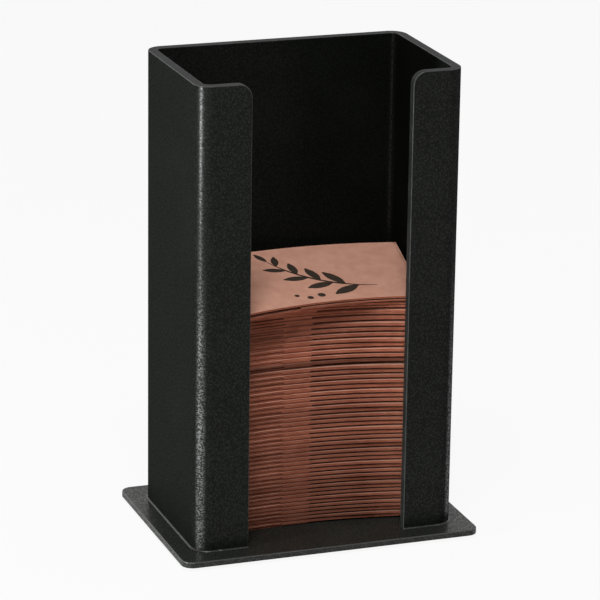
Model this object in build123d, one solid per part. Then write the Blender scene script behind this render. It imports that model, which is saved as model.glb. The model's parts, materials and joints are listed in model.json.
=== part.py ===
from build123d import *
import os
from math import cos, degrees, pi, radians, sin

# Counter bin for flat-folded paper cup sleeves.
# Millimetres, +Z up, -Y is the front with the finger slot.
# The origin is on the counter, under the middle of the base plate.
os.makedirs("parts", exist_ok=True)

# Cup sleeve, as the open cone that it becomes round a cup
sleeve_wide_diameter = 82.0
sleeve_narrow_diameter = 66.0
sleeve_slant = 62.5  # height of the sleeve, along the cone's side
board_pressed = 0.6  # one layer of corrugated board at the foot of the stack
board_free = 0.92  # the same board where little lies on it
lap_width = 15.0  # glued overlap of the two back flaps
fold_land = 1.2  # width that is pressed solid at each side fold
crease = 0.45  # bevel along the outside of a fold that nothing presses square

# Stack of sleeves
sleeve_count = 48
mouth_top = 1.0  # gap between panel and flap of the topmost sleeve, which nothing presses
rest_gap = 0.2  # air between two sleeves in the pressed part of the stack
loose_gap = 0.3  # air under each sleeve that lifts by itself
bundle_gap = 0.7  # air where a new bundle was dropped on the last one
bundle_size = 36
stack_fan = 9.8  # degrees by which the topmost sleeve slopes up to the rear
stack_turn = -1.8  # degrees by which the packed sleeves are turned about Z
turn_scatter = 0.5  # degrees, either way, from sleeve to sleeve
shift_scatter = 0.45  # sideways, either way, from sleeve to sleeve
scatter_step = 137.5  # degrees from one sleeve's scatter to the next, so that no two in a row lie alike

# The topmost sleeve as the last hand left it, and how fast that fades below it
top_turn = 4.3  # degrees about Z
top_roll = 1.2  # degrees, left side up
top_pull = 6.6  # forwards
top_fade = 0.3
loose_count = 4  # sleeves at the top that lift one by one, each with its mouth a step further open

# Bin wall, one strip of sheet bent four times
sheet = 4.8
bend_radius = 3.8  # inside of the bend
side_clearance = 1.25  # each side, from the widest part of a sleeve to the wall
rear_clearance = 0.5
finger_room = 17.4  # from the front of a sleeve pushed back to the lips
bin_height = 242.0
slot_width = 84.4  # clear width between the two front lips
lip_corner_radius = 7.0
rim_break = 0.35  # bevel on the sawn rim

# Base plate, cement and feet
plate_thickness = 3.0
plate_side_margin = 9.9  # plate that shows at each side of the bin
plate_front_margin = 12.0  # plate that shows in front of and behind the bin
plate_corner_radius = 6.0
plate_edge_break = 0.5
bead_leg = 1.0  # cement fillet along the foot of the wall
bead_top = 0.15  # wall that the fillet leaves bare of its full leg
foot_width = 12.7  # square
foot_height = 2.0
foot_edge_break = 0.6
foot_inset = 18.0  # from the plate's edges to a foot's middle

# The flat pattern of a folded sleeve is a fan about the apex of its cone
cone_sine = (sleeve_wide_diameter - sleeve_narrow_diameter) / 2 / sleeve_slant
wide_radius = sleeve_wide_diameter / 2 / cone_sine
narrow_radius = sleeve_narrow_diameter / 2 / cone_sine
half_fan = degrees(pi * cone_sine / 2)
lap_fan = degrees(lap_width / narrow_radius)
land_fan = degrees(fold_land / narrow_radius)
flat_half_width = wide_radius * sin(radians(half_fan))
corner_depth = wide_radius * cos(radians(half_fan)) - narrow_radius

# Bin sizes that follow from the sleeve
bin_width = 2 * (flat_half_width + side_clearance + sheet)
bin_depth = sleeve_slant + rear_clearance + finger_room + 2 * sheet
back_inside = bin_depth / 2 - sheet
plate_width = bin_width + 2 * plate_side_margin
plate_depth = bin_depth + 2 * plate_front_margin
plate_top = foot_height + plate_thickness


def fan(start, end):
    """Sector of the flat pattern from one angle to another, in degrees to the right of its middle line."""
    apex = (0, -narrow_radius)
    with BuildLine() as outline:
        front = CenterArc(apex, narrow_radius, 90 - end, end - start)
        rear = CenterArc(apex, wide_radius, 90 - end, end - start)
        Line(front @ 0, rear @ 0)
        Line(front @ 1, rear @ 1)
    return make_face(outline.line)


def cup_sleeve(board, mouth):
    """Folded sleeve: a panel over two flaps that lap at the middle, joined at both side folds.

    With no mouth the panel is pressed on the right flap. Left of the lap a gap as thick as the board stays.
    """
    thickness = 3 * board + mouth
    panel = Pos(0, 0, thickness - board) * extrude(fan(-half_fan, half_fan), board)
    left_flap = extrude(fan(-half_fan, 0), board)
    right_flap = Pos(0, 0, board) * extrude(fan(-lap_fan, half_fan), board)
    left_fold = extrude(fan(-half_fan, land_fan - half_fan), thickness)
    right_fold = Pos(0, 0, board) * extrude(fan(half_fan - land_fan, half_fan), thickness - board)
    sleeve = panel + [left_flap, right_flap, left_fold, right_fold]
    if mouth == 0:
        return sleeve
    sides = [face for face in sleeve.faces() if abs(face.normal_at().X) > 0.9]
    sides.sort(key=lambda face: face.center().X)
    outer_edges = sides[0].edges() + sides[-1].edges()
    creases = [edge for edge in outer_edges if edge.length > sleeve_slant / 2]
    return chamfer(creases, crease)


def bent_outline(growth=0.0):
    """Outline of the bent strip seen from above, moved outwards from the inner face of the sheet."""
    inside_width = bin_width - 2 * sheet
    inside_depth = bin_depth - 2 * sheet
    return RectangleRounded(inside_width + 2 * growth, inside_depth + 2 * growth, bend_radius + growth)


def front_slot(height):
    """What is cut away between the two lips, from the foot of the wall up."""
    reach = 4 * sheet
    return extrude(Pos(0, -bin_depth / 2) * Rectangle(slot_width, reach), height)


def bin_wall():
    """Bent wall with rounded top corners on the lips and an eased rim."""
    wall = extrude(bent_outline(sheet) - bent_outline(), bin_height) - front_slot(bin_height)
    lip_corners = [
        edge
        for edge in wall.edges().filter_by(Axis.Y)
        if abs(abs(edge.center().X) - slot_width / 2) < rim_break and edge.center().Z > bin_height / 2
    ]
    wall = fillet(lip_corners, lip_corner_radius)
    rim = wall.faces().sort_by(Axis.Z)[-1].edges()
    wall = chamfer(rim, rim_break)
    return Pos(0, 0, plate_top) * wall


def base_plate():
    """Flat plate with rounded corners and an eased top edge."""
    plate = extrude(RectangleRounded(plate_width, plate_depth, plate_corner_radius), plate_thickness)
    plate = chamfer(plate.faces().sort_by(Axis.Z)[-1].edges(), plate_edge_break)
    return Pos(0, 0, foot_height) * plate


def cement_bead():
    """Solvent cement that stands as a fillet along the outside of the wall's foot."""
    bead = extrude(bent_outline(sheet + bead_leg), bead_leg - bead_top, taper=45)
    return Pos(0, 0, plate_top) * (bead - extrude(bent_outline(sheet), bead_leg) - front_slot(bead_leg))


def foot():
    """Stick-on rubber foot, square with a bevelled lower edge."""
    pad = extrude(Rectangle(foot_width, foot_width), foot_height)
    return chamfer(pad.faces().sort_by(Axis.Z)[0].edges(), foot_edge_break)


export_step(base_plate(), "parts/base_plate.step")
export_step(bin_wall(), "parts/bin_wall.step")
export_step(cement_bead(), "parts/cement_bead.step")

foot_x = plate_width / 2 - foot_inset
foot_y = plate_depth / 2 - foot_inset
for end, y in (("front", -foot_y), ("rear", foot_y)):
    for side, x in (("left", -foot_x), ("right", foot_x)):
        export_step(Pos(x, y, 0) * foot(), f"parts/foot_{end}_{side}.step")

# Each sleeve lies on a plane that hinges about the same line across the bin, like a page of a book.
# Its own turn and pull are moves inside that plane.
hinge_y = back_inside - rear_clearance - sleeve_slant
height = plate_top + rest_gap
roll_below = 0.0
for number in range(1, sleeve_count + 1):
    share = (number - 1) / (sleeve_count - 1)
    looseness = top_fade ** (sleeve_count - number)
    scatter = radians(scatter_step * number)
    board = board_pressed + (board_free - board_pressed) * share
    mouth = mouth_top * max(0, number - sleeve_count + loose_count) / loose_count
    turn = stack_turn + (top_turn - stack_turn) * looseness
    turn += turn_scatter * sin(scatter) * (1 - looseness)
    roll = top_roll * looseness
    height += flat_half_width * sin(radians(roll - roll_below))
    side_shift = corner_depth * sin(radians(turn)) + shift_scatter * cos(scatter)
    back_swing = narrow_radius * (1 - cos(radians(turn)))
    forwards = top_pull * looseness + back_swing
    place = Pos(0, hinge_y, height) * Rot(stack_fan * share, roll, 0)
    sleeve = place * Pos(side_shift, -forwards, 0) * Rot(0, 0, turn) * cup_sleeve(board, mouth)
    export_step(sleeve, f"parts/sleeve_{number:02d}.step")
    gap_above = loose_gap if number >= sleeve_count - loose_count else rest_gap
    if number % bundle_size == 0:
        gap_above = bundle_gap
    height += 3 * board + mouth + gap_above
    roll_below = roll

print("bin", round(bin_width, 2), round(bin_depth, 2))
print("plate", round(plate_width, 2), round(plate_depth, 2))
print("stack top at the hinge line", round(height - gap_above - plate_top, 2))
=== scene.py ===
"""Studio view of a counter bin for folded paper cup sleeves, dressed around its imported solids.

The bin is one strip of black sheet, bent four times and cemented on a flat plate. It is loaded with
sleeves of corrugated board. Lengths are in metres, in the frame of the solids: +Z up, -Y the front.
"""

import json
import logging
import math
from collections.abc import Callable, Sequence
from dataclasses import dataclass, field
from enum import Enum, IntEnum

import bpy
from mathutils import Matrix, Vector

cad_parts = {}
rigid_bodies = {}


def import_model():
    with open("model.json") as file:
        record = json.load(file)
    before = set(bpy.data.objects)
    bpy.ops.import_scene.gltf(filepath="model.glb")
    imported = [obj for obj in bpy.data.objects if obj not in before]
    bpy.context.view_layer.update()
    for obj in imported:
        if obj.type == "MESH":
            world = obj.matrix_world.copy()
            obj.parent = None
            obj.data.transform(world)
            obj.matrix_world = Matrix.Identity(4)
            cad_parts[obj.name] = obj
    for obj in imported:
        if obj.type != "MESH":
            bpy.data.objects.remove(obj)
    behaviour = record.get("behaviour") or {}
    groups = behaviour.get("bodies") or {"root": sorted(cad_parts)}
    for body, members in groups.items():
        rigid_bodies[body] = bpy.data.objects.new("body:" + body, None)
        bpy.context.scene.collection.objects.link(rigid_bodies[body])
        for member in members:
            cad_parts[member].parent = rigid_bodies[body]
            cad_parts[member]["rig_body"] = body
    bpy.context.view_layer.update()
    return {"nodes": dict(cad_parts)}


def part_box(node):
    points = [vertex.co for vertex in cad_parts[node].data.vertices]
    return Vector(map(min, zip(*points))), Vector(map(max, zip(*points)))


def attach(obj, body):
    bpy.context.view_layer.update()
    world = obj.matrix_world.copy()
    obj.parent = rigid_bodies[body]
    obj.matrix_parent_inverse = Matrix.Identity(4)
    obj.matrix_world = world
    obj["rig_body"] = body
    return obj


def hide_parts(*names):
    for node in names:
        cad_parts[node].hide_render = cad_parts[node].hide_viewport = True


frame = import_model()

log = logging.getLogger("cup_sleeve_bin")

Colour = tuple[float, float, float]
Stretch = tuple[float, float, float]  # along X, Y and Z
Band = tuple[float, float]  # values at which a pattern sets in and is full
Shares = tuple[float, float]  # of two patterns in one
Point = Sequence[float]
Piece = bpy.types.Object
Finish = bpy.types.Material
Test = Callable[[Vector, Vector], bool]

MM = 0.001
TINY = 1e-5
ALONG = 0.9  # a unit vector with more than this along an axis runs along it
ACROSS = 0.1  # and with less than this, across it
LAYERS = 3  # of board where the flaps of a sleeve lap
WHITE = (1.0, 1.0, 1.0)
TONE_AND_SHADE = "sleeve_tone_and_shade"  # attribute with the paleness of a sleeve's paper and the shade painted into it
FLUTE = "flute_angle"  # attribute that turns once from flute to flute


class Kind(Enum):
    """What is picked on a mesh, as the three switches of Blender's select mode."""

    VERTEX = (True, False, False)
    EDGE = (False, True, False)
    FACE = (False, False, True)


class Coat(IntEnum):
    """Which of a piece's finishes a face has."""

    FACE = 0
    EDGE = 1
    INSIDE = 2
    ARRIS = 3


class Bench:
    """The operators that shape one piece at a time, as by hand."""

    @staticmethod
    def take(*pieces: Piece) -> None:
        """Selects these pieces and nothing else.

        Args:
            pieces: The pieces, of which the first one becomes active.
        """
        bpy.ops.object.select_all(action="DESELECT")
        for piece in pieces:
            piece.select_set(True)
        bpy.context.view_layer.objects.active = pieces[0]

    @staticmethod
    def add(primitive: Callable, name: str, low: Point, high: Point, **settings: object) -> Piece:
        """Adds a primitive that fills a box.

        Args:
            primitive: The operator that adds it, one metre across.
            name: Its name.
            low: Lowest corner of the box.
            high: Highest corner, at the same height for a flat primitive.
            settings: The operator's settings.

        Returns:
            The primitive.
        """
        bpy.ops.object.select_all(action="DESELECT")
        primitive(**settings)
        piece = bpy.context.active_object
        piece.name = piece.data.name = name
        low, high = Vector(low), Vector(high)
        size = [length or 1.0 for length in high - low]
        Bench.place(piece, Matrix.Translation((low + high) / 2) @ Matrix.Diagonal((*size, 1.0)))
        return piece

    @staticmethod
    def block(name: str, low: Point, high: Point) -> Piece:
        """Adds a block between two corners."""
        return Bench.add(bpy.ops.mesh.primitive_cube_add, name, low, high, size=1.0)

    @staticmethod
    def strip(name: str, low: Point, high: Point, columns: int) -> Piece:
        """Adds a flat strip between two corners, cut into columns across X."""
        cuts = {"x_subdivisions": columns, "y_subdivisions": 1}
        return Bench.add(bpy.ops.mesh.primitive_grid_add, name, low, high, size=1.0, **cuts)

    @staticmethod
    def disc(name: str, radius: float, sides: int) -> Piece:
        """Adds a flat filled circle round the origin."""
        corner, rim = Vector((radius, radius, 0.0)), {"vertices": sides, "fill_type": "NGON"}
        return Bench.add(bpy.ops.mesh.primitive_circle_add, name, -corner, corner, radius=0.5, **rim)

    @staticmethod
    def place(piece: Piece, matrix: Matrix) -> None:
        """Moves a piece and puts the move into its mesh.

        Args:
            piece: The piece, at the origin.
            matrix: The move.
        """
        Bench.take(piece)
        piece.matrix_world = matrix
        bpy.ops.object.transform_apply(location=True, rotation=True, scale=True)

    @staticmethod
    def shape(piece: Piece, kind: Kind, test: Test, operator: Callable, **settings: object) -> None:
        """Runs an edit mode operator on what passes a test.

        Args:
            piece: The piece to shape.
            kind: Vertices, edges or faces.
            test: Takes the middle of a vertex, edge or face, and its normal or, for an edge, its direction.
            operator: The operator.
            settings: The operator's settings.
        """
        Bench.take(piece)
        mesh = piece.data
        for group in (mesh.vertices, mesh.edges, mesh.polygons):
            group.foreach_set("select", [False] * len(group))
        points = mesh.vertices
        if kind is Kind.VERTEX:
            for point in points:
                point.select = test(point.co, point.normal)
        elif kind is Kind.EDGE:
            for edge in mesh.edges:
                first, last = (points[index].co for index in edge.vertices)
                edge.select = test((first + last) / 2, (last - first).normalized())
        else:
            for face in mesh.polygons:
                face.select = test(face.center, face.normal)
        bpy.context.tool_settings.mesh_select_mode = kind.value
        bpy.ops.object.mode_set(mode="EDIT")
        operator(**settings)
        bpy.ops.object.mode_set(mode="OBJECT")

    @staticmethod
    def bevel(piece: Piece, kind: Kind, test: Test, width: float, steps: int, **settings: object) -> None:
        """Bevels the edges that pass a test, or the corners where affect is VERTICES."""
        sizes = {"offset": width, "segments": steps, "affect": "EDGES"}
        Bench.shape(piece, kind, test, bpy.ops.mesh.bevel, **(sizes | settings))

    @staticmethod
    def modify(piece: Piece, kind: str, **settings: object) -> None:
        """Adds a modifier and applies it.

        Args:
            piece: The piece.
            kind: The modifier's type.
            settings: The modifier's settings.
        """
        Bench.take(piece)
        modifier = piece.modifiers.new(kind.lower(), kind)
        for name, value in settings.items():
            setattr(modifier, name, value)
        bpy.ops.object.modifier_apply(modifier=modifier.name)

    @staticmethod
    def smooth(piece: Piece, degrees: float) -> None:
        """Shades a piece smoothly, and keeps its large flat faces flat.

        Args:
            piece: The piece.
            degrees: Edges that turn by more than this stay sharp.
        """
        Bench.take(piece)
        bpy.ops.object.shade_smooth_by_angle(angle=math.radians(degrees))
        Bench.modify(piece, "WEIGHTED_NORMAL", keep_sharp=True)

    @staticmethod
    def copy(piece: Piece, name: str) -> Piece:
        """Copies a piece with a mesh of its own.

        Args:
            piece: The piece.
            name: The copy's name.

        Returns:
            The copy.
        """
        twin = piece.copy()
        twin.data = piece.data.copy()
        twin.name = twin.data.name = name
        bpy.context.scene.collection.objects.link(twin)
        return twin

    @staticmethod
    def join(name: str, pieces: Sequence[Piece]) -> Piece:
        """Joins pieces into the first one.

        Args:
            name: Name of the whole.
            pieces: The pieces.

        Returns:
            The whole.
        """
        Bench.take(*pieces)
        bpy.ops.object.join()
        pieces[0].name = pieces[0].data.name = name
        return pieces[0]

    @staticmethod
    def dress(piece: Piece, *finishes: Finish) -> None:
        """Gives a piece materials, in place of any that it has.

        Args:
            piece: The piece, whose faces all take the first material.
            finishes: The materials.
        """
        piece.data.materials.clear()
        for finish in finishes:
            piece.data.materials.append(finish)

    @staticmethod
    def scrap(pieces: Sequence[Piece]) -> None:
        """Removes pieces that only served as a model for copies."""
        for piece in pieces:
            bpy.data.objects.remove(piece)


class Sock:
    """Output socket of a node, which adds Math nodes when it is used in an expression."""

    def __init__(self, tree: "Tree", socket: bpy.types.NodeSocket) -> None:
        """Wraps a socket of a tree."""
        self.tree = tree
        self.socket = socket

    def __add__(self, other: "Sock | float") -> "Sock":
        """Adds."""
        return self.tree.maths("ADD", self, other)

    __radd__ = __add__

    def __sub__(self, other: "Sock | float") -> "Sock":
        """Subtracts."""
        return self.tree.maths("SUBTRACT", self, other)

    def __rsub__(self, other: float) -> "Sock":
        """Subtracts from a number."""
        return self.tree.maths("SUBTRACT", other, self)

    def __mul__(self, other: "Sock | float") -> "Sock":
        """Multiplies."""
        return self.tree.maths("MULTIPLY", self, other)

    __rmul__ = __mul__

    def rise(self, low: float, high: float) -> "Sock":
        """Runs smoothly from 0 to 1.

        Args:
            low: Value at which it leaves 0.
            high: Value at which it reaches 1.

        Returns:
            The result.
        """
        settings = {"interpolation_type": "SMOOTHSTEP"}
        sockets = {"Value": self, "From Min": low, "From Max": high}
        return self.tree.out("ShaderNodeMapRange", "Result", settings, sockets)


class Tree:
    """Node tree of a material or a world."""

    def __init__(self, owner: Finish | bpy.types.World) -> None:
        """Empties a node tree.

        Args:
            owner: The material or world.
        """
        owner.use_nodes = True
        self.owner = owner
        self.tree = owner.node_tree
        self.tree.nodes.clear()

    def node(self, kind: str, settings: dict | None = None, sockets: dict | None = None) -> bpy.types.Node:
        """Adds a node.

        Args:
            kind: The node's type.
            settings: Its settings, which are set first.
            sockets: Values or links of its input sockets, by name or number.

        Returns:
            The node.
        """
        node = self.tree.nodes.new(kind)
        for name, value in (settings or {}).items():
            setattr(node, name, value)
        for name, value in (sockets or {}).items():
            entry = node.inputs[name]
            if isinstance(value, Sock):
                self.tree.links.new(value.socket, entry)
            elif isinstance(value, tuple) and entry.type == "RGBA":
                entry.default_value = (*value, 1.0)
            else:
                entry.default_value = value
        return node

    def out(
        self, kind: str, output: str | int, settings: dict | None = None, sockets: dict | None = None
    ) -> Sock:
        """Adds a node and gives one of its outputs."""
        return Sock(self, self.node(kind, settings, sockets).outputs[output])

    def maths(self, operation: str, *values: "Sock | float") -> Sock:
        """Adds a Math node."""
        return self.out("ShaderNodeMath", 0, {"operation": operation}, dict(enumerate(values)))

    def place(self, stretch: Stretch = (1.0, 1.0, 1.0)) -> Sock:
        """Object coordinates, stretched along X, Y and Z."""
        place = self.out("ShaderNodeTexCoord", "Object")
        return self.out("ShaderNodeMapping", 0, None, {"Vector": place, "Scale": stretch})

    def noise(self, place: Sock, grain: float, detail: float = 2.0, roughness: float = 0.5) -> Sock:
        """Soft noise whose lumps are about as wide as the grain."""
        sockets = {"Vector": place, "Scale": 1.0 / grain, "Detail": detail, "Roughness": roughness}
        return self.out("ShaderNodeTexNoise", 0, None, sockets)

    def cells(self, place: Sock, grain: float) -> Sock:
        """Distance from the middle of cells about as wide as the grain."""
        sockets = {"Vector": place, "Scale": 1.0 / grain}
        return self.out("ShaderNodeTexVoronoi", "Distance", {"feature": "SMOOTH_F1"}, sockets)

    def attribute(self, name: str) -> Sock:
        """Value of a mesh attribute."""
        return self.out("ShaderNodeAttribute", "Fac", {"attribute_name": name})

    @staticmethod
    def both(first: Sock, second: Sock, shares: Shares) -> Sock:
        """Adds up two patterns by their shares."""
        return first * shares[0] + second * shares[1]

    def mix(self, share: "Sock | float", first: "Sock | Colour", second: "Sock | Colour") -> Sock:
        """Colour between two others."""
        return self.out("ShaderNodeMix", 2, {"data_type": "RGBA"}, {0: share, 6: first, 7: second})

    def shaded(self, colour: Sock, level: Sock) -> Sock:
        """Multiplies a colour.

        Args:
            colour: The colour.
            level: What each of its channels is multiplied by.

        Returns:
            The product.
        """
        grey = self.out("ShaderNodeCombineXYZ", 0, None, {"X": level, "Y": level, "Z": level})
        settings = {"data_type": "RGBA", "blend_type": "MULTIPLY"}
        return self.out("ShaderNodeMix", 2, settings, {0: 1.0, 6: colour, 7: grey})

    def bump(self, height: Sock, distance: float, under: Sock | None = None) -> Sock:
        """Bends the normal by a height.

        Args:
            height: The height, 0 to 1.
            distance: What a height of 1 stands for.
            under: A bent normal to bend further.

        Returns:
            The bent normal.
        """
        sockets = {"Height": height, "Distance": distance, "Strength": 1.0}
        if under:
            sockets["Normal"] = under
        return self.out("ShaderNodeBump", 0, None, sockets)

    def shader(self, **sockets: "Sock | float | Colour") -> Sock:
        """Adds a Principled shader, its sockets named with _ for each blank."""
        named = {name.replace("_", " "): value for name, value in sockets.items()}
        return self.out("ShaderNodeBsdfPrincipled", 0, None, named)

    def blend(self, share: Sock, first: Sock, second: Sock) -> Sock:
        """Shader between two others."""
        return self.out("ShaderNodeMixShader", 0, None, {0: share, 1: first, 2: second})

    def finish(self, shader: Sock) -> Finish:
        """Ends the tree in a shader and gives the material."""
        self.node("ShaderNodeOutputMaterial", None, {"Surface": shader})
        return self.owner

    def surface(self, **sockets: "Sock | float | Colour") -> Finish:
        """Ends the tree in a Principled shader with these sockets and gives the material."""
        return self.finish(self.shader(**sockets))


@dataclass(frozen=True)
class BlackSheet:
    """Black plastic sheet with a haircell grain pressed into its faces.

    Seen flat on, its crests have a weak sheen, which the grain masks at a glance. Along the wall's
    bends the hot sheet was stretched and is glossy in spots, most of all towards the foot.
    """

    name: str = "black_sheet"
    colour: Colour = (0.0044, 0.0052, 0.0042)
    rubbed: Colour = (0.0105, 0.0118, 0.0102)
    pebble: float = 0.8 * MM
    pebble_squash: Stretch = (1.0, 1.0, 0.8)
    pebble_band: Band = (0.05, 0.62)
    pebble_height: float = 0.09 * MM
    wander: float = 2.4  # in pebbles
    wander_shares: Shares = (0.75, 0.5)
    pores: float = 0.16 * MM
    pore_height: float = 0.014 * MM
    crest_shares: Shares = (0.6, 0.8)
    crest_band: Band = (0.45, 0.95)
    hand: float = 60 * MM
    hand_band: Band = (0.45, 0.7)
    rubbed_shares: Shares = (0.3, 0.45)
    roughness: float = 0.5
    roughness_spread: float = 0.16
    pebble_gloss: float = 0.6
    hand_dulls: float = 0.35
    specular: float = 0.004
    sheen: float = 0.37
    plain_sheen: float = 0.4
    sheen_roughness: float = 0.3
    masking: float = 1.0
    masked_from: float = 0.84
    bend_radius: float = 8.6 * MM
    bend_middle: tuple[float, float] = (61.4 * MM, 36.4 * MM)
    bend_band: Band = (0.32, 0.62)
    bend_specular: float = 0.8
    bend_roughness: float = 0.3
    bend_roughness_spread: float = 0.12
    bend_grain: float = 0.2
    bend_coat: float = 1.0
    bend_gloss: float = 1.75
    bend_dulls: float = 0.45
    glint: float = 0.62 * MM
    glint_stretch: Stretch = (0.6, 0.6, 1.0)
    glint_band: Band = (0.45, 0.58)
    glint_least: float = 0.1
    dull_top: float = 0.9
    dull_band: Band = (50 * MM, 170 * MM)

    def material(self) -> Finish:
        """Builds the material.

        Returns:
            The material.
        """
        tree = Tree(bpy.data.materials.new(self.name))
        place = tree.place()
        wander = tree.noise(place, self.wander * self.pebble)
        pebbles = 1.0 - tree.cells(tree.place(self.pebble_squash), self.pebble).rise(*self.pebble_band)
        pores = tree.noise(place, self.pores, detail=1.0)
        grain = tree.bump(tree.both(pebbles, wander, self.wander_shares), self.pebble_height)
        grain = tree.bump(pores, self.pore_height, grain)
        handled = tree.noise(place, self.hand, detail=3.0, roughness=0.6).rise(*self.hand_band)
        crests = tree.both(pebbles, pores, self.crest_shares).rise(*self.crest_band)
        colour = tree.mix(tree.both(handled, crests, self.rubbed_shares), self.colour, self.rubbed)
        dulled = 0.5 - pebbles * self.pebble_gloss + handled * self.hand_dulls
        facing = tree.out("ShaderNodeLayerWeight", "Facing")
        bend, height = self.bends(tree, place)
        sheen = self.sheen * (self.plain_sheen + (1 - self.plain_sheen) * crests)
        sheen = sheen * (1.0 - self.masking * facing.rise(0.0, self.masked_from))
        flat = tree.shader(
            Base_Color=colour,
            Roughness=self.roughness + self.roughness_spread * dulled,
            Specular_IOR_Level=self.specular,
            Coat_Weight=sheen * (1.0 - self.bend_dulls * bend) if self.bend_specular else sheen,
            Coat_Roughness=self.sheen_roughness,
            Normal=grain,
        )
        if not self.bend_specular:
            return tree.finish(flat)
        glints = tree.noise(tree.place(self.glint_stretch), self.glint).rise(*self.glint_band)
        stretched = tree.shader(
            Base_Color=colour,
            Roughness=self.bend_roughness + self.bend_roughness_spread * (1.0 - pebbles),
            Specular_IOR_Level=self.bend_specular,
            Coat_Weight=self.bend_coat,
            Coat_IOR=self.bend_gloss,
            Coat_Roughness=self.sheen_roughness,
            Normal=tree.bump(pebbles, self.bend_grain * self.pebble_height),
        )
        share = bend * (1.0 - self.dull_top * height.rise(*self.dull_band))
        share = share * (self.glint_least + (1 - self.glint_least) * glints) * (1.0 - facing)
        return tree.finish(tree.blend(share, flat, stretched))

    def bends(self, tree: Tree, place: Sock) -> tuple[Sock, Sock]:
        """Finds the wall's four bends.

        Args:
            tree: The material's tree.
            place: Object coordinates.

        Returns:
            1 along the middle of each bend and 0 on the flats, and the height above the table.
        """
        parts = tree.node("ShaderNodeSeparateXYZ", None, {"Vector": place})
        across, deep = (
            (tree.maths("ABSOLUTE", Sock(tree, parts.outputs[axis])) - middle).rise(0.0, self.bend_radius)
            for axis, middle in zip("XY", self.bend_middle)
        )
        return (across * deep).rise(*self.bend_band), Sock(tree, parts.outputs["Z"])


@dataclass(frozen=True)
class SawnEdge:
    """Sawn and scraped edge of the black sheet, smoother than its faces."""

    name: str = "sawn_edge"
    colour: Colour = (0.010, 0.011, 0.0105)
    chalky: Colour = (0.022, 0.023, 0.022)
    patch: float = 9 * MM
    patch_band: Band = (0.4, 0.75)
    chalk_shares: Shares = (0.5, 0.5)
    mark: float = 0.35 * MM
    mark_stretch: Stretch = (1.0, 1.0, 0.25)
    mark_height: float = 0.02 * MM
    roughness: float = 0.4
    mark_dulls: float = 0.2
    specular: float = 0.01
    sheen: float = 0.12
    sheen_least: float = 0.5
    sheen_roughness: float = 0.3

    def material(self) -> Finish:
        """Builds the material.

        Returns:
            The material.
        """
        tree = Tree(bpy.data.materials.new(self.name))
        marks = tree.noise(tree.place(self.mark_stretch), self.mark)
        patches = tree.noise(tree.place(), self.patch, detail=3.0).rise(*self.patch_band)
        return tree.surface(
            Base_Color=tree.mix(tree.both(marks, patches, self.chalk_shares), self.colour, self.chalky),
            Roughness=self.roughness + self.mark_dulls * marks,
            Specular_IOR_Level=self.specular,
            Coat_Weight=self.sheen * (self.sheen_least + marks),
            Coat_Roughness=self.sheen_roughness,
            Normal=tree.bump(marks, self.mark_height),
        )


@dataclass(frozen=True)
class SetCement:
    """Solvent cement that has set glossy, with dust and small bubbles in it."""

    name: str = "set_cement"
    colour: Colour = (0.014, 0.014, 0.014)
    dusty: Colour = (0.06, 0.06, 0.058)
    lump: float = 1.6 * MM
    lump_height: float = 0.12 * MM
    dust_patch: float = 5 * MM
    dust_band: Band = (0.5, 0.75)
    roughness: float = 0.24
    dust_dulls: float = 0.4
    specular: float = 0.3

    def material(self) -> Finish:
        """Builds the material.

        Returns:
            The material.
        """
        tree = Tree(bpy.data.materials.new(self.name))
        lumps = tree.noise(tree.place(), self.lump, detail=3.0)
        dust = tree.noise(tree.place(), self.dust_patch).rise(*self.dust_band)
        return tree.surface(
            Base_Color=tree.mix(dust, self.colour, self.dusty),
            Roughness=self.roughness + self.dust_dulls * dust,
            Specular_IOR_Level=self.specular,
            Normal=tree.bump(lumps, self.lump_height),
        )


@dataclass(frozen=True)
class FootRubber:
    """Matt black rubber."""

    name: str = "foot_rubber"
    colour: Colour = (0.014, 0.014, 0.015)
    scuffed: Colour = (0.045, 0.044, 0.042)
    scuff: float = 4 * MM
    scuff_band: Band = (0.5, 0.8)
    skin: float = 0.3 * MM
    skin_height: float = 0.03 * MM
    roughness: float = 0.7
    scuff_dulls: float = 0.15

    def material(self) -> Finish:
        """Builds the material.

        Returns:
            The material.
        """
        tree = Tree(bpy.data.materials.new(self.name))
        skin = tree.noise(tree.place(), self.skin)
        scuffs = tree.noise(tree.place(), self.scuff, detail=4.0, roughness=0.7).rise(*self.scuff_band)
        return tree.surface(
            Base_Color=tree.mix(scuffs, self.colour, self.scuffed),
            Roughness=self.roughness + self.scuff_dulls * scuffs,
            Normal=tree.bump(skin, self.skin_height),
        )


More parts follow.
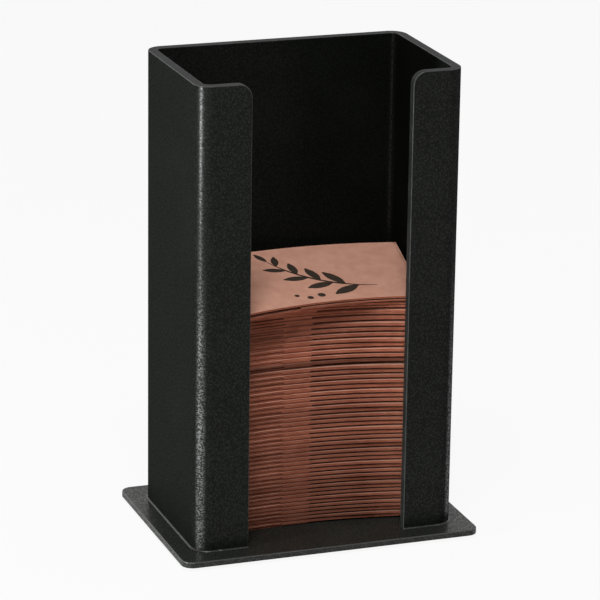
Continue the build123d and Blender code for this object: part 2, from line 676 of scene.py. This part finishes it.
@dataclass(frozen=True)
class Kraft:
    """Brown recycled paper, with mottle, fibres, flecks and the flutes that press through it."""

    name: str
    colour: Colour
    deep: Colour
    flute_shows: float = 0.0
    fleck: Colour = (0.16, 0.075, 0.05)
    fleck_size: float = 0.55 * MM
    fleck_band: Band = (0.74, 0.8)
    fleck_depth: float = 0.55
    mottle: float = 7 * MM
    mottle_band: Band = (0.3, 0.7)
    fibre: float = 0.22 * MM
    fibre_height: float = 0.02 * MM
    fibre_ways: tuple[Stretch, Stretch] = ((1.0, 0.3, 1.0), (0.25, 1.0, 1.0))
    fibre_shares: Shares = (0.6, 0.4)
    deep_shares: Shares = (0.6, 0.7)
    deep_from: float = 0.2
    roughness: float = 0.82
    fibre_gloss: float = 0.1
    specular: float = 0.08

    def material(self) -> Finish:
        """Builds the material.

        Returns:
            The material.
        """
        tree = Tree(bpy.data.materials.new(self.name))
        place = tree.place()
        mottle = tree.noise(place, self.mottle, detail=4.0, roughness=0.6).rise(*self.mottle_band)
        along, across = (tree.place(way) for way in self.fibre_ways)
        fibres = tree.noise(along, self.fibre, detail=3.0, roughness=0.65)
        crossed = tree.noise(across, self.fibre, roughness=0.6)
        flecks = tree.noise(place, self.fleck_size, detail=1.0).rise(*self.fleck_band)
        deepened = tree.both(mottle, fibres, self.deep_shares) - self.deep_from
        paper = tree.mix(deepened, self.colour, self.deep)
        paper = tree.mix(flecks * self.fleck_depth, paper, self.fleck)
        height = tree.both(fibres, crossed, self.fibre_shares)
        if self.flute_shows:
            height = height + self.flute_shows * tree.maths("SINE", tree.attribute(FLUTE))
        return tree.surface(
            # the attribute multiplies the paper by its own tone and by painted shade
            Base_Color=tree.shaded(paper, tree.attribute(TONE_AND_SHADE)),
            Roughness=self.roughness - self.fibre_gloss * fibres,
            Specular_IOR_Level=self.specular,
            Normal=tree.bump(height, self.fibre_height),
        )


@dataclass(frozen=True)
class PressInk:
    """Dark brown ink that a coarse plate has printed on board."""

    name: str = "press_ink"
    colour: Colour = (0.028, 0.021, 0.016)
    thin: Colour = (0.11, 0.06, 0.042)
    spot: float = 0.3 * MM
    spot_stretch: Stretch = (1.0, 0.5, 1.0)
    spot_band: Band = (0.52, 0.75)
    roughness: float = 0.6
    spot_dulls: float = 0.2
    specular: float = 0.1

    def material(self) -> Finish:
        """Builds the material.

        Returns:
            The material.
        """
        tree = Tree(bpy.data.materials.new(self.name))
        spots = tree.noise(tree.place(self.spot_stretch), self.spot, detail=3.0, roughness=0.7)
        starved = spots.rise(*self.spot_band)
        return tree.surface(
            Base_Color=tree.mix(starved, self.colour, self.thin),
            Roughness=self.roughness + self.spot_dulls * starved,
            Specular_IOR_Level=self.specular,
        )


def report(piece: Piece, node: str) -> None:
    """Hands a finished piece to the frame in place of a node, on the body that carries the node.

    Args:
        piece: The piece.
        node: The node.
    """
    body = frame["nodes"][node]["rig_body"]
    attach(piece, body)
    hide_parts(node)
    log.info("%s: %d faces, on %s", piece.name, len(piece.data.polygons), body)


@dataclass
class BinWall:
    """Back, two sides and two front lips, one strip of sheet bent four times."""

    node: str = "bin_wall"
    sheet: float = 4.8 * MM
    bend: float = 3.8 * MM
    slot: float = 84.4 * MM
    lip_corner: float = 7.0 * MM
    edge_break: float = 0.35 * MM
    bend_steps: int = 12
    corner_steps: int = 9
    edge_steps: int = 2
    sharp: float = 50.0  # degrees
    low: Vector = field(init=False)
    high: Vector = field(init=False)

    def __post_init__(self) -> None:
        """Takes the overall size from the node."""
        self.low, self.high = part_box(self.node)

    def strip(self, name: str, low: Vector, high: Vector, bend: float, steps: int) -> Piece:
        """Bends a thin strip round a box and leaves the slot open in front.

        Args:
            name: The strip's name.
            low: Lowest corner of the box.
            high: Highest corner of the box.
            bend: Radius of the four bends.
            steps: Faces round each bend.

        Returns:
            The strip, without thickness, its faces outwards.
        """
        strip = Bench.block(name, low, high)
        delete = bpy.ops.mesh.delete
        Bench.shape(strip, Kind.FACE, lambda spot, way: abs(way.z) > ALONG, delete, type="ONLY_FACE")
        for edge in (-self.slot / 2, self.slot / 2):
            cut = {"plane_co": (edge, 0.0, 0.0), "plane_no": (1.0, 0.0, 0.0)}
            Bench.shape(strip, Kind.FACE, lambda spot, way: way.y < -ALONG, bpy.ops.mesh.bisect, **cut)
        Bench.shape(strip, Kind.FACE, self.in_slot, delete, type="FACE")
        Bench.bevel(
            strip,
            Kind.EDGE,
            lambda spot, way: abs(way.z) > ALONG and abs(abs(spot.x) - high.x) < TINY,
            bend,
            steps,
        )
        return strip

    def in_slot(self, spot: Vector, way: Vector) -> bool:
        """Tells whether a face closes the slot."""
        return way.y < -ALONG and abs(spot.x) < self.slot / 2 - TINY

    def on_lip(self, spot: Vector, way: Vector) -> bool:
        """Tells whether a point is the top corner of a front lip."""
        return spot.z > self.high.z - TINY and abs(abs(spot.x) - self.slot / 2) < TINY and spot.y < 0

    def build(self, *finishes: Finish) -> None:
        """Models the wall and dresses it.

        Args:
            finishes: Finishes of its outer face, sawn edges, inner face and arrises.
        """
        inwards = Vector((self.sheet, self.sheet, 0.0))
        wall = self.strip("wall_sheet", self.low + inwards, self.high - inwards, self.bend, self.bend_steps)
        Bench.bevel(wall, Kind.VERTEX, self.on_lip, self.lip_corner, self.corner_steps, affect="VERTICES")
        Bench.dress(wall, *finishes)
        solid = {"thickness": self.sheet, "offset": 1.0, "use_even_offset": True}
        coats = {"material_offset": Coat.INSIDE, "material_offset_rim": Coat.EDGE}
        Bench.modify(wall, "SOLIDIFY", **solid, **coats)
        ease = {"width": self.edge_break, "segments": self.edge_steps, "material": Coat.ARRIS}
        Bench.modify(wall, "BEVEL", limit_method="ANGLE", angle_limit=math.radians(self.sharp), **ease)
        Bench.smooth(wall, self.sharp)
        report(wall, self.node)


@dataclass
class BasePlate:
    """Flat plate with rounded corners and an eased top edge."""

    node: str = "base_plate"
    corner: float = 6.0 * MM
    corner_steps: int = 12
    edge_break: float = 0.5 * MM
    edge_steps: int = 3
    sharp: float = 40.0  # degrees

    def build(self, *finishes: Finish) -> None:
        """Models the plate and dresses it.

        Args:
            finishes: Finishes of its faces and of its eased edge.
        """
        low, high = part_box(self.node)
        plate = Bench.block("plate_sheet", low, high)
        Bench.bevel(plate, Kind.EDGE, lambda spot, way: abs(way.z) > ALONG, self.corner, self.corner_steps)
        Bench.dress(plate, *finishes)
        Bench.bevel(
            plate,
            Kind.EDGE,
            lambda spot, way: spot.z > high.z - TINY and abs(way.z) < ACROSS,
            self.edge_break,
            self.edge_steps,
            material=Coat.EDGE,
        )
        Bench.smooth(plate, self.sharp)
        report(plate, self.node)


@dataclass
class CementBead:
    """Solvent cement that was run along the outside of the wall's foot and has set in lumps."""

    wall: BinWall
    node: str = "cement_bead"
    leg: float = 0.95 * MM
    sag: float = 0.8
    steps: int = 10
    cuts: int = 70
    wander: float = 0.16 * MM
    seed: int = 4
    sharp: float = 60.0  # degrees

    def build(self, finish: Finish) -> None:
        """Models the bead and dresses it.

        Args:
            finish: Its finish.
        """
        wall = self.wall
        top = Vector((wall.high.x, wall.high.y, wall.low.z + self.leg))
        bead = wall.strip("cement_line", wall.low, top, wall.bend + wall.sheet, self.steps)
        Bench.shape(
            bead,
            Kind.EDGE,
            lambda spot, way: abs(way.z) < ACROSS and self.on_a_side(spot),
            bpy.ops.mesh.subdivide,
            number_cuts=self.cuts,
        )
        Bench.modify(bead, "SOLIDIFY", thickness=self.leg, offset=1.0, use_even_offset=True)
        Bench.shape(
            bead,
            Kind.VERTEX,
            lambda spot, way: spot.z > top.z - TINY and self.stands_out(spot),
            bpy.ops.transform.translate,
            value=(0.0, 0.0, -self.sag * self.leg),
        )
        Bench.shape(
            bead,
            Kind.VERTEX,
            lambda spot, way: spot.z > top.z - TINY,
            bpy.ops.transform.vertex_random,
            offset=self.wander,
            seed=self.seed,
        )
        Bench.modify(bead, "SUBSURF", levels=1, render_levels=1)
        Bench.dress(bead, finish)
        Bench.smooth(bead, self.sharp)
        report(bead, self.node)

    def on_a_side(self, spot: Vector) -> bool:
        """Tells whether a point lies on a flat side of the wall and not in a bend."""
        reach = self.wall.bend + self.wall.sheet + TINY
        return abs(spot.x) < self.wall.high.x - reach or abs(spot.y) < self.wall.high.y - reach

    def stands_out(self, spot: Vector) -> bool:
        """Tells whether a point stands outside the wall's outer face.

        Args:
            spot: The point.

        Returns:
            Whether it stands out.
        """
        radius = self.wall.bend + self.wall.sheet
        across = max(0.0, abs(spot.x) - (self.wall.high.x - radius))
        deep = max(0.0, abs(spot.y) - (self.wall.high.y - radius))
        return math.hypot(across, deep) > radius + self.leg / 2


@dataclass
class Sprig:
    """Printed sprig of leaves with three berries, in the plane of a sleeve's top face."""

    stem_length: float = 62 * MM
    stem_width: float = 1.6 * MM
    stem_bend: float = 62.0  # degrees
    stem_ends: float = 0.25
    stem_columns: int = 20
    leaf_length: float = 18.5 * MM
    leaf_width: float = 6.6 * MM
    leaf_pairs: int = 4
    bare_stem: float = 1.5
    leaf_lean: float = 42.0  # degrees
    leaf_shrink: float = 0.45
    leaf_body: float = 0.84
    leaf_tip: float = 0.08
    leaf_stalk: float = 0.1
    leaf_grip: float = 0.2 * MM
    leaf_sides: int = 18
    berries: int = 3
    berry: float = 2.1 * MM
    berry_sides: int = 14
    berry_shrink: float = 0.18
    berry_start: tuple[float, float] = (32.24 * MM, 9.0 * MM)
    berry_step: tuple[float, float] = (6.5 * MM, 2.5 * MM)
    film: float = 0.02 * MM
    foot: tuple[float, float] = (33 * MM, 12 * MM)
    heading: float = 172.0  # degrees

    def build(self, finish: Finish) -> Piece:
        """Draws the sprig at height zero.

        Args:
            finish: Its finish.

        Returns:
            The sprig, as thick as a film of ink.
        """
        bend, last = math.radians(self.stem_bend), 2 * self.leaf_pairs
        radius = self.stem_length / bend
        strokes = [self.stem()]
        for number in range(last + 1):
            share = (number + self.bare_stem) / (last + self.bare_stem)
            side = 0 if number == last else (-1 if number % 2 else 1)
            turned = bend * share
            joint = Vector((radius * math.sin(turned), -radius * (1 - math.cos(turned)), 0.0))
            lean = side * math.radians(self.leaf_lean) - turned
            strokes.append(self.leaf(f"leaf_{number}", joint, lean, 1.0 - self.leaf_shrink * share))
        for number in range(self.berries):
            size = self.berry * (1.0 - self.berry_shrink * number)
            berry = Bench.disc(f"berry_{number}", size, self.berry_sides)
            across = self.berry_start[0] + self.berry_step[0] * number
            deep = self.berry_start[1] + self.berry_step[1] * (number % 2)
            Bench.place(berry, Matrix.Translation((across, deep, 0.0)))
            strokes.append(berry)
        sprig = Bench.join("sprig", strokes)
        turn = Matrix.Rotation(math.radians(self.heading), 4, "Z")
        Bench.place(sprig, Matrix.Translation((*self.foot, 0.0)) @ turn)
        Bench.shape(sprig, Kind.FACE, lambda spot, way: True, bpy.ops.mesh.normals_make_consistent)
        Bench.modify(sprig, "SOLIDIFY", thickness=self.film, offset=1.0)
        Bench.dress(sprig, finish)
        return sprig

    def stem(self) -> Piece:
        """Draws the curved stem from the origin along +X, thick in the middle and thin at its ends.

        Returns:
            The stem, flat.
        """
        length, columns = self.stem_length, self.stem_columns
        front, rear = (0.0, -self.stem_width / 2, 0.0), (length, self.stem_width / 2, 0.0)
        stem = Bench.strip("stem", front, rear, columns)
        for column in range(columns + 1):
            share = column / columns
            swell = self.stem_ends + (1.0 - self.stem_ends) * math.sin(math.pi * share)
            Bench.shape(
                stem,
                Kind.VERTEX,
                lambda spot, way: abs(spot.x - share * length) < length / columns / 2,
                bpy.ops.transform.resize,
                value=(1.0, swell, 1.0),
            )
        bend = {"deform_method": "BEND", "deform_axis": "Z", "angle": -math.radians(self.stem_bend)}
        Bench.modify(stem, "SIMPLE_DEFORM", **bend)
        return stem

    def leaf(self, name: str, joint: Vector, lean: float, size: float) -> Piece:
        """Draws a pointed leaf.

        Args:
            name: Its name.
            joint: Where it leaves the stem.
            lean: Its direction.
            size: Share of the full size.

        Returns:
            The leaf, flat.
        """
        length, width = self.leaf_length * size, self.leaf_width * size
        leaf = Bench.disc(name, 0.5, self.leaf_sides)
        Bench.place(leaf, Matrix.Diagonal((self.leaf_body * length, width, 1.0, 1.0)))
        half = self.leaf_body / 2 * length
        for end in (-1, 1):
            Bench.shape(
                leaf,
                Kind.VERTEX,
                lambda spot, way: end * spot.x > half - self.leaf_grip,
                bpy.ops.transform.translate,
                value=(end * self.leaf_tip * length, 0.0, 0.0),
            )
        reach = Matrix.Translation((half + self.leaf_stalk * length, 0.0, 0.0))
        Bench.place(leaf, Matrix.Translation(joint) @ Matrix.Rotation(lean, 4, "Z") @ reach)
        return leaf


@dataclass
class Board:
    """Corrugated board: two liners with a fluted medium between them.

    A sleeve is made of this board and then pressed to the thickness that it has in the stack.
    """

    thickness: float = 1.0 * MM
    liner: float = 0.24 * MM
    medium: float = 0.2 * MM
    bond: float = 0.02 * MM
    flute: float = 1.3 * MM
    columns_per_flute: int = 4
    liner_step: float = 4.5 * MM


class Face(Enum):
    """Which side of a layer is its outer face, where it keeps its place when it swells."""

    UP = -1
    DOWN = 1


@dataclass(frozen=True)
class Span:
    """Part of the unbent pattern: its ends along the front edge, and how far that edge lies back."""

    low: float
    high: float
    inset: float = 0.0

    def columns(self, width: float) -> int:
        """Number of columns of about this width across the span."""
        return max(2, round((self.high - self.low) / width))


@dataclass(frozen=True)
class Cut:
    """How the flaps of a sleeve lie.

    Their front edges lie back by the inset, and left of the lap the two layers swell into the gap
    between them by a share of their thickness.
    """

    inset: float
    swell: float


@dataclass(frozen=True)
class Lie:
    """How one sleeve lies in the stack."""

    number: int
    board: float
    mouth: float
    tone: float
    place: Matrix


@dataclass
class SleeveStack:
    """The folded sleeves, each a panel over two flaps that lap at the middle."""

    paper: Finish
    edge: Finish
    ink: Finish
    count: int = 48
    wide_diameter: float = 82.0 * MM
    narrow_diameter: float = 66.0 * MM
    slant: float = 62.5 * MM
    board_pressed: float = 0.6 * MM
    board_free: float = 0.92 * MM
    lap: float = 15.0 * MM
    fold_land: float = 1.2 * MM
    crease: float = 0.5 * MM
    crease_steps: int = 3
    mouth_top: float = 1.0 * MM
    squeezed: float = 0.72
    pressed_cuts: tuple[Cut, ...] = (Cut(0.3 * MM, 0.2), Cut(0.45 * MM, 0.06), Cut(0.25 * MM, 0.12))
    loose_cut: Cut = Cut(0.4 * MM, 0.05)
    rest_gap: float = 0.2 * MM
    loose_gap: float = 0.3 * MM
    bundle_gap: float = 0.7 * MM
    bundle_size: int = 36
    stack_fan: float = 9.8  # degrees, as all turns and rolls
    stack_turn: float = -1.8
    turn_scatter: float = 0.5
    shift_scatter: float = 0.45 * MM
    scatter_step: float = 137.5
    top_turn: float = 4.3
    top_roll: float = 1.2
    top_pull: float = 6.6 * MM
    top_fade: float = 0.3
    loose_count: int = 4
    rear_clearance: float = 0.5 * MM
    # The next two paint shade: the paper darkens towards the foot of the stack. The scatter after them is
    # the paper's own tone.
    foot_painted_shade: float = 0.6
    painted_shade_rise: float = 0.55
    tone_scatter: float = 0.12
    tone_step: float = 2.3
    # painted shade: one sleeve's paper is painted dark as a shaded band
    painted_shade_tone: float = 0.5
    sharp: float = 45.0  # degrees
    board: Board = field(default_factory=Board)
    front_radius: float = field(init=False)
    half_fan: float = field(init=False)
    half_length: float = field(init=False)

    def __post_init__(self) -> None:
        """Works out the fan that is the flat pattern of the open cone."""
        cone_sine = (self.wide_diameter - self.narrow_diameter) / 2 / self.slant
        self.front_radius = self.narrow_diameter / 2 / cone_sine
        self.half_fan = math.pi * cone_sine / 2
        self.half_length = self.half_fan * self.front_radius

    def flat(self, name: str, span: Span, level: float, columns: int) -> Piece:
        """Lays a strip without thickness across part of the unbent pattern."""
        front, rear = (span.low, span.inset, level), (span.high, self.slant - span.inset, level)
        return Bench.strip(name, front, rear, columns)

    def liner(self, span: Span, level: float) -> Piece:
        """Lays one liner of the board.

        Args:
            span: The part that it covers.
            level: Height of its middle.

        Returns:
            The liner.
        """
        liner = self.flat("liner", span, level, span.columns(self.board.liner_step))
        Bench.dress(liner, self.paper, self.edge)
        rim = {"material_offset_rim": Coat.EDGE}
        Bench.modify(liner, "SOLIDIFY", thickness=self.board.liner, offset=0.0, **rim)
        return liner

    def medium(self, span: Span, level: float) -> Piece:
        """Lays the fluted paper between two liners, with the flutes from front to rear.

        Args:
            span: The part that it covers.
            level: Height of its middle.

        Returns:
            The medium.
        """
        board = self.board
        half = board.columns_per_flute // 2
        columns = span.columns(board.flute) * board.columns_per_flute
        pitch = (span.high - span.low) / columns
        medium = self.flat("medium", span, level, columns)
        swing = (board.thickness - 2 * board.liner - board.medium) / 2 + board.bond
        for side in (-1, 1):
            Bench.shape(
                medium,
                Kind.VERTEX,
                lambda spot, way: (round((spot.x - span.low) / pitch) // half % 2 * 2 - 1) == side,
                bpy.ops.transform.translate,
                value=(0.0, 0.0, side * swing),
            )
        Bench.modify(medium, "SOLIDIFY", thickness=board.medium, offset=0.0)
        Bench.dress(medium, self.paper, self.edge)
        for face in medium.data.polygons:
            face.material_index = Coat.EDGE
        return medium

    def layer(
        self, span: Span, level: float, facing: Face, swell: float = 0.0, squeeze: float = 1.0
    ) -> Piece:
        """Lays one layer of board across part of the unbent pattern.

        Args:
            span: The part.
            level: Height of its outer face.
            facing: Which side is its outer face.
            swell: Share by which it is thicker at its right end, where nothing presses it.
            squeeze: Share of its thickness that it keeps.

        Returns:
            The layer.
        """
        board, side = self.board, facing.value
        outer = self.liner(span, side * board.liner / 2)
        inner = self.liner(span, side * (board.thickness - board.liner / 2))
        medium = self.medium(span, side * board.thickness / 2)
        layer = Bench.join("layer", [outer, inner, medium])
        if swell:
            Bench.place(layer, Matrix.Translation((-span.low, 0.0, 0.0)))
            taper = {"deform_method": "TAPER", "deform_axis": "X", "factor": swell, "lock_y": True}
            Bench.modify(layer, "SIMPLE_DEFORM", **taper)
            Bench.place(layer, Matrix.Translation((span.low, 0.0, 0.0)))
        press = Matrix.Diagonal((1.0, 1.0, squeeze, 1.0))
        Bench.place(layer, Matrix.Translation((0.0, 0.0, level)) @ press)
        return layer

    def fold(self, side: int, low: float, high: float) -> Piece:
        """Makes the folded side edge, pressed solid and rounded outside.

        Args:
            side: -1 for the left fold, 1 for the right one.
            low: Its lowest height.
            high: Its highest.

        Returns:
            The fold.
        """
        ends = sorted((side * self.half_length, side * (self.half_length - self.fold_land)))
        fold = Bench.block("fold", (ends[0], 0.0, low), (ends[1], self.slant, high))
        Bench.bevel(
            fold,
            Kind.EDGE,
            lambda spot, way: abs(way.y) > ALONG and side * spot.x > self.half_length - TINY,
            self.crease,
            self.crease_steps,
            clamp_overlap=True,
        )
        Bench.dress(fold, self.paper, self.edge)
        for face in fold.data.polygons:
            face.material_index = Coat.EDGE if abs(face.normal.y) > ALONG else Coat.FACE
        return fold

    def pattern(self, name: str, mouth: float, cut: Cut) -> Piece:
        """Makes a folded sleeve of board that nothing has pressed.

        Args:
            name: Its name.
            mouth: Gap between panel and flap.
            cut: How its flaps lie.

        Returns:
            The sleeve, its origin in the middle of its front edge, on its bottom face.
        """
        left, seam, right = -self.half_length, -self.lap, self.half_length
        thick = self.board.thickness
        top = LAYERS * thick + mouth
        parts = [
            self.layer(Span(left, seam), top, Face.UP, cut.swell),
            self.layer(Span(seam, right), top, Face.UP),
            self.layer(Span(left, seam, cut.inset), 0.0, Face.DOWN, cut.swell),
            self.layer(Span(seam, 0.0, cut.inset), 0.0, Face.DOWN),
            self.layer(Span(seam, 0.0), thick, Face.DOWN),
            self.layer(Span(0.0, right), (2 - self.squeezed) * thick, Face.DOWN, squeeze=self.squeezed),
            self.fold(-1, 0.0, top),
            self.fold(1, thick, top),
        ]
        sleeve = Bench.join(name, parts)
        flute = sleeve.data.attributes.new(FLUTE, "FLOAT", "POINT")
        turns = [2 * math.pi * point.co.x / self.board.flute for point in sleeve.data.vertices]
        flute.data.foreach_set("value", turns)
        bend = {"deform_method": "BEND", "deform_axis": "Z", "angle": -2 * self.half_fan}
        Bench.modify(sleeve, "SIMPLE_DEFORM", **bend)
        return sleeve

    def lies(self) -> list[Lie]:
        """Works out how the sleeves lie, by the formulas that placed their solids.

        Returns:
            The sleeves, from the bottom up.
        """
        wall_low, wall_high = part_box("bin_wall")
        rear_radius = self.front_radius + self.slant
        corner_depth = rear_radius * math.cos(self.half_fan) - self.front_radius
        half_width = rear_radius * math.sin(self.half_fan)
        hinge_y = wall_high.y - BinWall.sheet - self.rear_clearance - self.slant
        height = wall_low.z + self.rest_gap
        roll_below = 0.0
        lies = []
        for number in range(1, self.count + 1):
            share = (number - 1) / (self.count - 1)
            looseness = self.top_fade ** (self.count - number)
            scatter = math.radians(self.scatter_step * number)
            board = self.board_pressed + (self.board_free - self.board_pressed) * share
            mouth = self.mouth_top * max(0, number - self.count + self.loose_count) / self.loose_count
            turn = self.stack_turn + (self.top_turn - self.stack_turn) * looseness
            turn = math.radians(turn + self.turn_scatter * math.sin(scatter) * (1 - looseness))
            roll = math.radians(self.top_roll * looseness)
            height += half_width * math.sin(roll - roll_below)
            side_shift = corner_depth * math.sin(turn) + self.shift_scatter * math.cos(scatter)
            forwards = self.top_pull * looseness + self.front_radius * (1 - math.cos(turn))
            place = (
                Matrix.Translation((0.0, hinge_y, height))
                @ Matrix.Rotation(math.radians(self.stack_fan * share), 4, "X")
                @ Matrix.Rotation(roll, 4, "Y")
                @ Matrix.Translation((side_shift, -forwards, 0.0))
                @ Matrix.Rotation(turn, 4, "Z")
            )
            lies.append(Lie(number, board, mouth, self.tone(number, share, scatter), place))
            gap_above = self.loose_gap if number >= self.count - self.loose_count else self.rest_gap
            if number % self.bundle_size == 0:
                gap_above = self.bundle_gap
            height += LAYERS * board + mouth + gap_above
            roll_below = roll
        return lies

    def tone(self, number: int, share: float, scatter: float) -> float:
        """Works out how pale a sleeve's paper is, with painted shade: darker towards the foot of the stack,
        paler towards its top, and one sleeve painted dark as a shaded band.

        Args:
            number: The sleeve's number.
            share: 0 for the lowest sleeve to 1 for the topmost.
            scatter: Its angle in the scatter from sleeve to sleeve.

        Returns:
            What the paper's colour is multiplied by.
        """
        if number == self.count:
            return 1.0
        # painted shade: the sleeve above the first bundle is painted dark as a shaded band
        if number == self.bundle_size + 1:
            return self.painted_shade_tone
        # painted shade darkens the paper towards the foot of the stack; the scatter is the paper's own tone
        scattered = 1.0 + self.tone_scatter * math.sin(self.tone_step * scatter)
        return (self.foot_painted_shade + self.painted_shade_rise * share) * scattered

    def build(self) -> None:
        """Models the patterns, and places a copy for each sleeve where its node lies."""
        sprig = Sprig().build(self.ink)
        pressed = [
            self.pattern(f"pressed_{number}", 0.0, cut) for number, cut in enumerate(self.pressed_cuts)
        ]
        for lie in self.lies():
            name = f"folded_sleeve_{lie.number:02d}"
            pressing = lie.board / self.board.thickness
            if lie.mouth:
                sleeve = self.pattern(name, lie.mouth / pressing, self.loose_cut)
            else:
                sleeve = Bench.copy(pressed[lie.number % len(pressed)], name)
            Bench.place(sleeve, Matrix.Diagonal((1.0, 1.0, pressing, 1.0)))
            ink = Bench.copy(sprig, "ink")
            Bench.place(ink, Matrix.Translation((0.0, 0.0, LAYERS * lie.board + lie.mouth)))
            sleeve = Bench.join(name, [sleeve, ink])
            Bench.place(sleeve, lie.place)
            # each sleeve's paper tone, with its painted shade
            tone = sleeve.data.attributes.new(TONE_AND_SHADE, "FLOAT", "POINT")
            tone.data.foreach_set("value", [lie.tone] * len(sleeve.data.vertices))
            Bench.take(sleeve)
            bpy.ops.object.shade_smooth_by_angle(angle=math.radians(self.sharp))
            report(sleeve, f"sleeve_{lie.number:02d}")
        Bench.scrap([sprig, *pressed])


@dataclass(frozen=True)
class SoftLamp:
    """Rectangular lamp."""

    name: str
    place: tuple[float, float, float]
    size: tuple[float, float]
    watts: float
    colour: Colour = WHITE

    def hang(self, target: Vector) -> None:
        """Hangs the lamp.

        Args:
            target: The point that it shines at.
        """
        data = bpy.data.lights.new(self.name, "AREA")
        data.shape = "RECTANGLE"
        data.size, data.size_y = self.size
        data.energy = self.watts
        data.color = self.colour
        lamp = bpy.data.objects.new(self.name, data)
        lamp.location = self.place
        lamp.rotation_euler = (Vector(self.place) - target).to_track_quat("Z", "Y").to_euler()
        bpy.context.scene.collection.objects.link(lamp)


@dataclass
class Studio:
    """Pale floor, soft lamps, a white surround and the camera."""

    target: tuple[float, float, float] = (0.0, 0.0, 0.11928)
    azimuth: float = -19.84  # degrees, as elevation and roll
    elevation: float = 17.42
    roll: float = 0.82
    distance: float = 1.76017
    lens_pixels: float = 3425.15
    image_pixels: float = 600
    sensor: float = 36.0
    clip: tuple[float, float] = (0.01, 50.0)
    floor_reach: float = 6.0
    floor_paint: Colour = (0.5, 0.5, 0.5)
    floor_glow: float = 0.92
    room_level: float = 0.04
    overhead_level: float = 0.6
    overhead_from: float = 0.25
    lamps: tuple[SoftLamp, ...] = (
        SoftLamp("key_lamp", (-0.37, -0.8, 1.78), (0.5, 0.5), 25.0),
        SoftLamp("side_lamp", (-0.74, -0.2, 0.1), (0.08, 0.18), 7.0, (0.94, 1.0, 0.97)),
    )

    def camera(self) -> None:
        """Sets the camera where the photograph was taken from."""
        turn, rise, roll = (math.radians(angle) for angle in (self.azimuth, self.elevation, self.roll))
        back = Vector((math.sin(turn) * math.cos(rise), -math.cos(turn) * math.cos(rise), math.sin(rise)))
        right = Vector((0.0, 0.0, 1.0)).cross(back).normalized()
        up = back.cross(right)
        right, up = (
            right * math.cos(roll) + up * math.sin(roll),
            up * math.cos(roll) - right * math.sin(roll),
        )
        data = bpy.data.cameras.new("studio_camera")
        data.sensor_width = self.sensor
        data.lens = self.lens_pixels / self.image_pixels * self.sensor
        data.clip_start, data.clip_end = self.clip
        camera = bpy.data.objects.new("studio_camera", data)
        matrix = Matrix((right, up, back)).transposed().to_4x4()
        matrix.translation = Vector(self.target) + back * self.distance
        camera.matrix_world = matrix
        bpy.context.scene.collection.objects.link(camera)
        bpy.context.scene.camera = camera

    @staticmethod
    def seen(tree: Tree) -> Sock:
        """Tells the rays that the camera sees from those that light the bin.

        Args:
            tree: The tree of the floor or the surround.

        Returns:
            1 for rays from the camera, also by way of gloss or glass, and 0 for the others.
        """
        rays = tree.node("ShaderNodeLightPath")
        kinds = ("Camera", "Glossy", "Transmission")
        first, second, third = (Sock(tree, rays.outputs[f"Is {kind} Ray"]) for kind in kinds)
        return tree.maths("MAXIMUM", tree.maths("MAXIMUM", first, second), third)

    def floor(self) -> None:
        """Lays the floor, which keeps the shadow of the bin."""
        corner = Vector((self.floor_reach, self.floor_reach, 0.0))
        floor = Bench.strip("studio_floor", -corner, corner, 1)
        tree = Tree(bpy.data.materials.new("pale_floor"))
        paint = tree.out("ShaderNodeBsdfDiffuse", 0, None, {"Color": self.floor_paint})
        glow = tree.out("ShaderNodeEmission", 0, None, {"Color": WHITE, "Strength": 1.0})
        Bench.dress(floor, tree.finish(tree.blend(self.seen(tree) * self.floor_glow, paint, glow)))

    def surround(self) -> None:
        """Makes the world white to the camera and a soft grey room to the light."""
        world = bpy.data.worlds.new("studio_surround")
        bpy.context.scene.world = world
        tree = Tree(world)
        way = tree.out("ShaderNodeTexCoord", "Generated")
        parts = tree.node("ShaderNodeSeparateXYZ", None, {"Vector": way})
        overhead = Sock(tree, parts.outputs["Z"]).rise(self.overhead_from, 1.0)
        room = self.room_level + self.overhead_level * overhead
        level = tree.maths("MAXIMUM", self.seen(tree), room)
        glow = tree.out("ShaderNodeBackground", 0, None, {"Color": WHITE, "Strength": level})
        tree.node("ShaderNodeOutputWorld", None, {"Surface": glow})

    def build(self) -> None:
        """Sets up the studio."""
        bpy.context.scene.view_settings.view_transform = "Standard"
        self.camera()
        self.floor()
        self.surround()
        for lamp in self.lamps:
            lamp.hang(Vector(self.target))


def build_bin() -> None:
    """Builds the wall, the plate, the cement between them and the feet."""
    wall = BinWall()
    wall.build(
        BlackSheet().material(),
        SawnEdge().material(),
        BlackSheet(
            "sheet_inside",
            sheen=0.1,
            bend_radius=wall.bend,
            bend_specular=0.1,
            bend_coat=0.2,
            dull_top=0.0,
        ).material(),
        # lighter arris: scraped wear, and partly a painted highlight along the sheet's eased edges
        SawnEdge(
            "scraped_arris_and_painted_highlight", colour=(0.025, 0.026, 0.025), chalky=(0.06, 0.062, 0.06), sheen=0.36
        ).material(),
    )
    BasePlate().build(
        BlackSheet(
            "plate_sheet",
            colour=(0.0115, 0.0125, 0.0105),
            rubbed=(0.021, 0.0225, 0.0205),
            sheen=1.0,
            sheen_roughness=0.35,
            masking=0.0,
            bend_specular=0.0,
        ).material(),
        # lighter plate arris: scraped wear, and partly a painted highlight along the plate's eased edge
        SawnEdge(
            "plate_arris", colour=(0.018, 0.019, 0.018), chalky=(0.045, 0.046, 0.045), sheen=0.8
        ).material(),
    )
    CementBead(wall).build(SetCement().material())
    rubber = FootRubber().material()
    for node, piece in frame["nodes"].items():
        if node.startswith("foot_"):
            Bench.dress(piece, rubber)
            log.info("%s: kept, in %s", node, rubber.name)


def main() -> None:
    """Builds the bin, its load and the studio."""
    logging.basicConfig(level=logging.INFO, format="%(message)s")
    build_bin()
    paper = Kraft("kraft_paper", colour=(0.53, 0.285, 0.208), deep=(0.43, 0.212, 0.15), flute_shows=0.5)
    edge = Kraft("kraft_cut_edge", colour=(0.58, 0.195, 0.117), deep=(0.4, 0.11, 0.062))
    SleeveStack(paper.material(), edge.material(), PressInk().material()).build()
    Studio().build()


if __name__ == "__main__":
    main()
